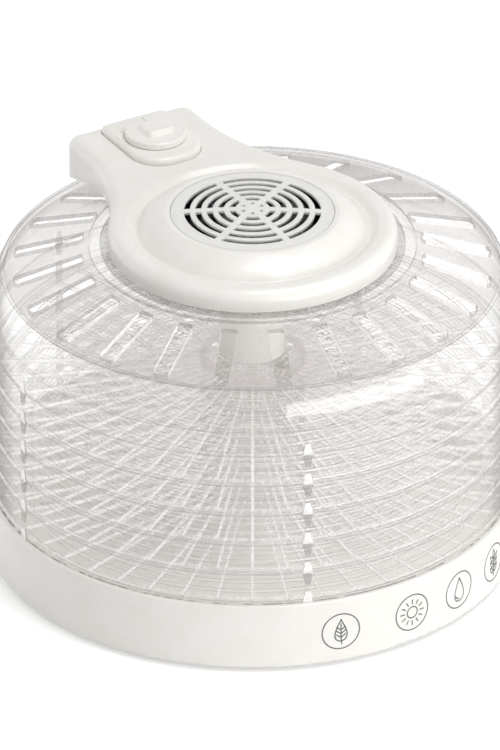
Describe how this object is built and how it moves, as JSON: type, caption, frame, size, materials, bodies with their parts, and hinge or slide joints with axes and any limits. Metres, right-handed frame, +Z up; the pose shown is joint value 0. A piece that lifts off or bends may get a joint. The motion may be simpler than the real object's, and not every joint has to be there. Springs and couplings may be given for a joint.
{
  "type": "food dehydrator",
  "caption": "Round stacking food dehydrator: white base, clear trays and domed lid, and a lift-off power head with handle, dial and fan grille.",
  "frame": {"origin": "under the middle of the base, at the level it stands on", "axes": "+Z up, +Y towards the end of the handle"},
  "size_m": [0.326, 0.326, 0.2337],
  "materials": {
    "white_abs": "glossy moulded, warm white",
    "clear_polystyrene": "clear moulded, colourless",
    "foot_rubber": "matt",
    "dark_rubber": "matt",
    "bright_steel": "turned",
    "motor_steel": "satin",
    "zinc_plate": "stamped",
    "black_nylon": "moulded",
    "dark_phenolic": "moulded",
    "cream_nylon": "moulded",
    "pale_ceramic": "unglazed",
    "mica": "pressed sheet",
    "heater_wire": "drawn wire"
  },
  "bodies": {
    "base": {"base_pan": "white_abs", "base_feet": "foot_rubber"},
    "tray_1": {"tray_1_ring": "clear_polystyrene", "tray_1_floor": "clear_polystyrene"},
    "tray_2": {"tray_2_ring": "clear_polystyrene", "tray_2_floor": "clear_polystyrene"},
    "tray_3": {"tray_3_ring": "clear_polystyrene", "tray_3_floor": "clear_polystyrene"},
    "tray_4": {"tray_4_ring": "clear_polystyrene", "tray_4_floor": "clear_polystyrene"},
    "tray_5": {"tray_5_ring": "clear_polystyrene", "tray_5_floor": "clear_polystyrene"},
    "lid": {"lid": "clear_polystyrene"},
    "fan": {"fan_impeller": "black_nylon", "motor_shaft": "bright_steel"},
    "knob": {"control_knob": "white_abs", "control_spindle": "bright_steel"},
    "power_head": {"head_top_cover": "white_abs", "control_panel": "white_abs", "air_inlet_grille": "white_abs", "head_bottom_cover": "white_abs", "heater_duct": "white_abs", "outlet_guard": "white_abs", "thermostat": "dark_phenolic", "terminal_block": "cream_nylon", "cord_gland": "dark_rubber", "thermal_cutoff": "pale_ceramic", "motor": "motor_steel", "motor_bracket": "zinc_plate", "heater_frame": "mica", "heater_coil": "heater_wire", "cover_screws": "bright_steel", "bracket_screws": "bright_steel"}
  },
  "joints": [
    {"name": "tray_1_lift", "type": "slide", "parent": "base", "child": "tray_1", "axis": [0, 0, 1], "range_m": [0, 0.06]},
    {"name": "tray_2_lift", "type": "slide", "parent": "tray_1", "child": "tray_2", "axis": [0, 0, 1], "range_m": [0, 0.06]},
    {"name": "tray_3_lift", "type": "slide", "parent": "tray_2", "child": "tray_3", "axis": [0, 0, 1], "range_m": [0, 0.06]},
    {"name": "tray_4_lift", "type": "slide", "parent": "tray_3", "child": "tray_4", "axis": [0, 0, 1], "range_m": [0, 0.06]},
    {"name": "tray_5_lift", "type": "slide", "parent": "tray_4", "child": "tray_5", "axis": [0, 0, 1], "range_m": [0, 0.06]},
    {"name": "lid_lift", "type": "slide", "parent": "tray_5", "child": "lid", "axis": [0, 0, 1], "range_m": [0, 0.06]},
    {"name": "head_lift", "type": "slide", "parent": "lid", "child": "power_head", "axis": [0, 0, 1], "range_m": [0, 0.12]},
    {"name": "fan_spin", "type": "hinge", "parent": "power_head", "child": "fan", "pos_m": [0, 0, 0.2157], "axis": [0, 0, 1], "continuous": true},
    {"name": "knob_turn", "type": "hinge", "parent": "power_head", "child": "knob", "pos_m": [0, 0.119, 0.2265], "axis": [0, 0, 1], "range_deg": [-270, 0]}
  ]
}
